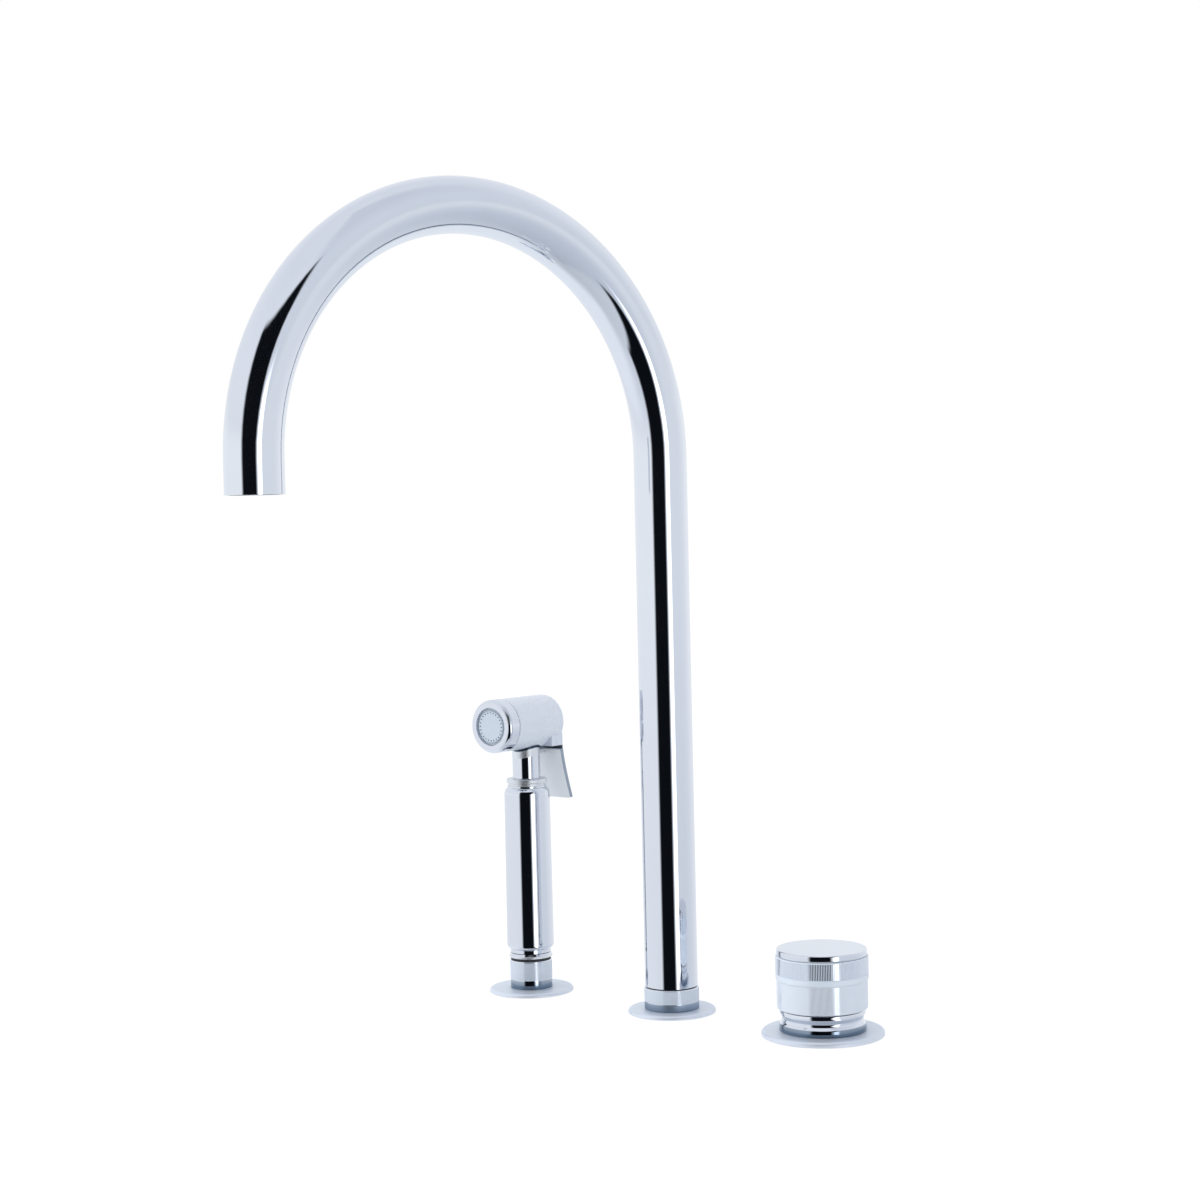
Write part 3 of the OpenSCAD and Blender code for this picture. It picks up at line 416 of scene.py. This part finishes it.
def painted_foot_shade_mask(low, sharp, soft):
    """Painted shade just above a foot at height low: fades up to the height soft, and ends at the height
    sharp.
    """
    fading, steady = 0.6, 0.4

    def build(t, place):
        z = t.parts(place)["Z"]
        above = t.step(z, (low - 0.4) * MM, (low - 0.2) * MM)
        fade = t.rest(t.step(z, (low - 0.5) * MM, soft * MM))
        shade = t.math("ADD", t.times(fade, fading), steady)
        below = t.rest(t.step(z, (sharp - 0.1) * MM, (sharp + 0.2) * MM))
        return t.times(above, shade, below)
    return build


def near_axis_mask(radius):
    """Within a radius of the axis of the handset's head, which runs along Y."""
    def build(t, place):
        across = t.add("ShaderNodeVectorMath", operation="MULTIPLY")
        t.join(place, across.inputs[0])
        across.inputs[1].default_value = (1, 0, 1)
        apart = t.distance(across.outputs[0], HEAD_AXIS)
        return t.rest(edge_at(t, apart, radius))
    return build


def lever_edge_shade_mask(half, top):
    """Near the lever's two side edges, which lie half its width from its middle, and its upper edge, where
    painted shade darkens it.
    """
    def build(t, place):
        x, _, z = t.parts(place)
        off = t.math("ABSOLUTE", t.math("SUBTRACT", x, SPRAY_X * MM))
        side = t.step(off, (half - 0.4) * MM, (half - 0.2) * MM)
        return t.math("MAXIMUM", side, t.step(z, (top - 0.6) * MM, (top - 0.5) * MM))
    return build


CHROME = (0.79, 0.83, 0.90)
PALE = (0.86, 0.89, 0.93)
# SHADE is the colour of the painted shade on the feet
SHADE = (0.17, 0.235, 0.32)
POLISH = {"rough": 0.035, "spread": 0.03, "bump_scale": 30, "bump_depth": 0.00003, "tint": 0.03}
TURNED = {"spread": 0.06, "bump_scale": 900, "bump_depth": 0.00002, "tint": 0.04}

chrome = metal("polished_chrome", CHROME, **POLISH)
satin = satin_metal("satin_chrome", (0.83, 0.89, 0.98), metallic=0.35, rough=0.50, polish=3.3)
cut = satin_metal("satin_cut", (0.86, 0.915, 0.985), metallic=0.18, rough=0.50)
# Painted shade: the collars' ribs take a darker copy of the cut satin
shaded_collar_cut = satin_metal("shaded_collar_cut", (0.73, 0.79, 0.87), metallic=0.18, rough=0.50)
# Painted shade: the grip band's teeth and valleys take a darker copy of the satin
shaded_valley = satin_metal("tooth_valley", (0.75, 0.82, 0.92), metallic=0.20, rough=0.45)
band_rim = satin_metal("band_rim_satin", (0.86, 0.92, 0.99), metallic=0.2, rough=0.50)
brass = metal("brass", (0.78, 0.62, 0.34), rough=0.22, spread=0.16,
              bump_scale=700, bump_depth=0.00004, tint=0.12)
steel = metal("steel", (0.60, 0.61, 0.63), rough=0.22, spread=0.14,
              bump_scale=900, bump_depth=0.00004, tint=0.10)
rubber = matt("black_rubber", (0.025, 0.025, 0.028), rough=0.55, grain_scale=1500, depth=0.00005)
plastic = matt("white_plastic", (0.82, 0.82, 0.80), rough=0.35, grain_scale=900, depth=0.00002, tint=0.05)
ceramic = matt("ceramic", (0.86, 0.85, 0.80), rough=0.15, grain_scale=500, depth=0.00001, tint=0.04,
               coat=0.4)
nozzle = matt("nozzle_face", (0.62, 0.685, 0.76), rough=0.30, grain_scale=900, depth=0.00003, tint=0.05)

finish = {"polished_chrome": chrome, "satin_chrome": satin, "brass": brass, "steel": steel,
          "black_rubber": rubber, "white_plastic": plastic, "ceramic": ceramic}
for part in frame["record"]["subparts"]:
    solid = nodes[part["node"]]
    solid.data.materials.clear()
    solid.data.materials.append(finish[part["material_slot"]])


def dress(name, m):
    """Gives one CAD node a material of its own."""
    nodes[name].data.materials[0] = m


def patched(name, *patches):
    """Polished chrome with patches."""
    return metal(name, CHROME, patches=patches, **POLISH)


def flange_finish():
    """The flanges are less polished than the rest."""
    m = metal("flange_chrome", (0.80, 0.85, 0.93), rough=0.40, **TURNED)
    s = principled(m)
    s.inputs["Metallic"].default_value = 0.5
    s.inputs["Specular IOR Level"].default_value = 0.1
    return m


# Painted shade: the lowest few millimetres of each foot are coloured darker
dress("spout_shank", patched("spout_shank_chrome", (painted_foot_shade_mask(2, 5.4, 11), (0.27, 0.35, 0.46), 0.50)))
dress("holder_body", patched("holder_body_chrome", (painted_foot_shade_mask(2, 6.1, 9), SHADE, 0.06)))
base_chrome = patched("control_base_chrome", (painted_foot_shade_mask(2.5, 5.7, 12), SHADE, 0.03))
flange_chrome = flange_finish()
for name in ("spout_flange", "holder_flange", "control_flange"):
    dress(name, flange_chrome)

# The handset: painted shade in a dark line along the head's underside, satin and a painted shadow on the
# neck under it, a front ring polished on its widest part only, and painted shade on the lever's edges
# The head's dark band is painted shade along the underside of the head and its heel
head_satin = satin_metal("head_satin", (0.80, 0.865, 0.96), metallic=0.35, rough=0.50, polish=2.0,
                         patches=[(band_mask(119, 121.6), (0.03, 0.045, 0.07), 0.0)])
dress("head_shell", head_satin)
dress("lever_pin", head_satin)
# The neck's second, dark patch is a painted shadow just under the head
dress("handset_neck", patched("neck_chrome", (near_axis_mask(17.5), PALE, 0.40),
                              (near_axis_mask(14), (0.05, 0.08, 0.12), 0.0)))
dress("top_ring", metal("top_ring_chrome", PALE, rough=0.42, **TURNED))
dress("front_ring", patched("front_ring_chrome", (band_mask(135.2, 160), CHROME, 0.25)))
dress("nozzle_plate", nozzle)
dress("hose_fitting", patched("ferrule_chrome", (band_mask(16, 18.4), PALE, 0.42)))
# Painted light: the lever's colour is lifted almost to white against the shade it sits in, and painted
# shade darkens its edges
dress("lever", satin_metal("lever_satin", (0.96, 0.985, 1.0), metallic=0.0, rough=0.55, polish=1.6,
                           patches=[(lever_edge_shade_mask(12.3, 120), (0.30, 0.37, 0.46), 0.0)]))
dress("knob_cap", patched("cap_chrome", (cap_mask(36.6, 39.1), (0.90, 0.93, 0.97), 0.42)))

# The worktop hides what hangs under it, in the metal's reflections too
SHOWN_ABOVE = ("spout_shank", "holder_body", "holder_liner")
HANGS_BELOW = -5
for name, solid in nodes.items():
    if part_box(name)[0].z < HANGS_BELOW * MM and name not in SHOWN_ABOVE:
        solid.visible_glossy = False


# Fine cut textures, as geometry
def piece(name, points, faces, body, shader):
    mesh = bpy.data.meshes.new(name)
    mesh.from_pydata([tuple(c * MM for c in p) for p in points], [], faces)
    mesh.materials.append(shader)
    mesh.validate()
    o = bpy.data.objects.new(name, mesh)
    bpy.context.scene.collection.objects.link(o)
    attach(o, body)
    return o


def skin_faces(rings, count, closed=False):
    """Faces between rings of count points each. A closed skin joins its last ring to its first."""
    faces = []
    for i in range(rings if closed else rings - 1):
        k = (i + 1) % rings
        for j in range(count):
            n = (j + 1) % count
            faces.append((i * count + j, i * count + n, k * count + n, k * count + j))
    return faces


def rib_angles(count, flat):
    """Angles round a ribbed ring, and whether each lies on a rib's crest."""
    steps = []
    for k in range(count):
        for u, crest in ((0.0, 1), (flat, 1), ((1 + flat) / 2, 0)):
            steps.append((2 * math.pi * (k + u) / count, crest))
    return steps


def polish_lands(o, x, crest):
    """Gives the faces that lie on the crests, beyond a radius, the second material."""
    for face in o.data.polygons:
        corners = (o.data.vertices[i].co for i in face.vertices)
        if min(math.hypot(v.x - x * MM, v.y) for v in corners) > crest * MM:
            face.material_index = 1
    return o


def land(points, faces, x, hole):
    """Cuts a round land out of a skin, behind it, at hole = (height, radius)."""
    z0, radius = hole
    snap = 0.09
    moved = []
    for px, py, pz in points:
        d = math.hypot(px - x, pz - z0)
        if py > 0 and 0 < d < radius + snap and d > radius - snap:
            px, pz = x + (px - x) * radius / d, z0 + (pz - z0) * radius / d
        moved.append((px, py, pz))
    kept = []
    for f in faces:
        cx = sum(moved[i][0] for i in f) / len(f) - x
        cz = sum(moved[i][2] for i in f) / len(f) - z0
        if sum(moved[i][1] for i in f) < 0 or math.hypot(cx, cz) > radius - 0.02:
            kept.append(f)
    return moved, kept


def ribs(name, body, shader, x, radius, low, high, count, flat, hole=None):
    """Upright ribs round a turned face, with run-outs at both ends and a plain land round a hole.
    flat is the share of each rib that is its polished crest."""
    depth, proud, sunk, runout, fine, margin = 0.05, 0.006, 0.03, 0.25, 0.16, 0.4
    steps = rib_angles(count, flat)
    heights = [low, low + runout]
    if hole:
        first, last = hole[0] - hole[1] - margin, hole[0] + hole[1] + margin
        rows = round((last - first) / fine)
        heights += [first + (last - first) * i / rows for i in range(rows + 1)]
    heights += [high - runout, high]
    points = []
    for i, z in enumerate(heights):
        end = i in (0, len(heights) - 1)
        for angle, crest in steps:
            r = radius - sunk if end else radius + proud + depth * crest
            points.append((x + r * math.cos(angle), r * math.sin(angle), z))
    faces = skin_faces(len(heights), len(steps))
    if hole:
        points, faces = land(points, faces, x, hole)
    o = piece(name, points, faces, body, shader)
    o.data.materials.append(chrome)
    return polish_lands(o, x, radius + proud + depth * 0.9)


def toothed_band():
    """The knob's grip band: a plain rim below, upright teeth above."""
    steps = rib_angles(180, 0.5)
    tooth = 0.10
    inner, outer, low, high = 18.95, 20.9, 25.5, 36.1
    rim_top, teeth_top = 28.1, 35.6
    outline = [
        (inner, low, 0), (outer - 0.35, low, 0), (outer - 0.1, low + 0.1, 0), (outer, low + 0.35, 0),
        (outer, low + 2.5, 0), (outer - tooth - 0.05, low + 2.8, 0), (outer - tooth, low + 2.95, 1),
        (outer - tooth, high - 0.45, 1), (outer - tooth - 0.15, high, 0), (inner, high, 0)]
    points = []
    for r, z, toothed in outline:
        for angle, crest in steps:
            rr = r + toothed * crest * tooth
            points.append((CONTROL_X + rr * math.cos(angle), rr * math.sin(angle), z))
    # The teeth are in the darker satin, which is painted shade
    band = piece("grip_band_toothed", points, skin_faces(len(outline), len(steps), True),
                 "knob", shaded_valley)
    band.data.materials.append(chrome)
    band.data.materials.append(band_rim)
    polish_lands(band, CONTROL_X, outer - 0.01)
    for face in band.data.polygons:
        if face.center.z < rim_top * MM or face.center.z > teeth_top * MM:
            face.material_index = 2
    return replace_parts(band, "grip_band")


def turned(name, outline, x, count, body, shader):
    """A turned solid round an upright axis, from its closed outline of (radius, height)."""
    points = []
    for r, z in outline:
        for j in range(count):
            angle = 2 * math.pi * j / count
            points.append((x + r * math.cos(angle), r * math.sin(angle), z))
    o = piece(name, points, skin_faces(len(outline), count, True), body, shader)
    for face in o.data.polygons:
        face.use_smooth = True
    o.data.set_sharp_from_angle(angle=math.radians(28))
    return o


def control_base():
    """The knob's base: foot ring with a bevelled shoulder, a narrow neck, and a lip undercut below."""
    outline = [
        (16.55, 2.5), (19.2, 2.5), (19.52, 2.7), (19.6, 3.0), (19.6, 5.3), (19.5, 5.6), (18.85, 6.5),
        (18.6, 6.75), (18.4, 7.1), (18.35, 7.5), (18.35, 8.2), (18.45, 8.6), (18.7, 9.0), (19.05, 9.7),
        (19.25, 10.05), (19.3, 10.3), (19.3, 11.7), (19.2, 11.92), (19.0, 12.0), (16.55, 12.0)]
    base = turned("control_base_turned", outline, CONTROL_X, 160,
                  "deck_set", base_chrome)
    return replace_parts(base, "control_base")


def knurl():
    """Diamonds with flat tops round the handset's head, clear of its neck and heel."""
    radius, count, pitch, depth, top = 12.905, 74, 1.5, 0.08, 0.5
    first, last = -18.2, 12.8
    heel_half, heel_front, neck_radius = 11.6, 6.0, 7.6
    rows = int((last - first) / (pitch / 2))
    step = 2 * math.pi / count
    points, faces = [], []

    def at(u, y, r):
        return (SPRAY_X + r * math.sin(u * step), y, HEAD_Z + r * math.cos(u * step))

    for j in range(1, rows):
        y = first + j * pitch / 2
        for i in range(count):
            u = i + 0.5 * (j % 2)
            mx, _, mz = at(u, y, radius)
            below = mz < HEAD_Z
            if below and abs(mx - SPRAY_X) < heel_half and y > heel_front:
                continue
            if below and math.hypot(mx - SPRAY_X, y) < neck_radius:
                continue
            spread = ((-0.5, 0), (0, -pitch / 2), (0.5, 0), (0, pitch / 2))
            n = len(points)
            points += [at(u + du, y + dy, radius) for du, dy in spread]
            points += [at(u + du * top, y + dy * top, radius + depth) for du, dy in spread]
            faces.append((n + 7, n + 6, n + 5, n + 4))
            for k in range(4):
                m = (k + 1) % 4
                faces.append((n + m, n + k, n + 4 + k, n + 4 + m))
    return piece("head_knurl", points, faces, "handset", satin)


def thread(name, x, radius, low, high, pitch, slot):
    """A screw thread's crests on a shank, running out into it at both ends."""
    count, per_pitch, depth, sunk = 72, 6, 0.3, 0.02
    crest_half, crest_flat = 0.42, 0.85
    rings = int((high - low) / pitch * per_pitch) + 1
    points = []
    for i in range(rings):
        z = low + (high - low) * i / (rings - 1)
        run = min(1.0, (z - low) / pitch, (high - z) / pitch)
        for j in range(count):
            turn = j / count
            phase = (z / pitch - turn) % 1.0
            crest = max(0.0, 1.0 - abs(phase - 0.5) / crest_half)
            r = radius - sunk + depth * min(crest, crest_flat) * run
            angle = 2 * math.pi * turn
            points.append((x + r * math.cos(angle), r * math.sin(angle), z))
    o = piece(name, points, skin_faces(rings, count), "deck_set", finish[slot])
    o.visible_glossy = False
    return o


SCREW_HOLE = (19.5, 2.5)
ribs("sleeve_ribs", "knob", cut, CONTROL_X, 20.4, 12.95, 25.4, 252, 0.22, SCREW_HOLE)
# The collar ribs use the darker satin, which is painted shade
ribs("spout_collar_ribs", "deck_set", shaded_collar_cut, 0, 12.9, 5.5, 11.9, 160, 0.09)
ribs("holder_collar_ribs", "deck_set", shaded_collar_cut, SPRAY_X, 10.35, 6.3, 15.4, 130, 0.20)
toothed_band()
control_base()
knurl()
for name, x, radius, slot in (("spout", 0, 12, "polished_chrome"),
                              ("holder", SPRAY_X, 12, "polished_chrome"),
                              ("control", CONTROL_X, 16.5, "brass")):
    thread(name + "_thread_upper", x, radius, -29.5, -2.5, 1.5, slot)
    thread(name + "_thread_lower", x, radius, -49.6, -44.1, 1.5, slot)
thread("inlet_thread", 0, 10.4, -63.4, -50.4, 1.814, "polished_chrome")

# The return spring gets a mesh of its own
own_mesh(nodes["return_spring"])
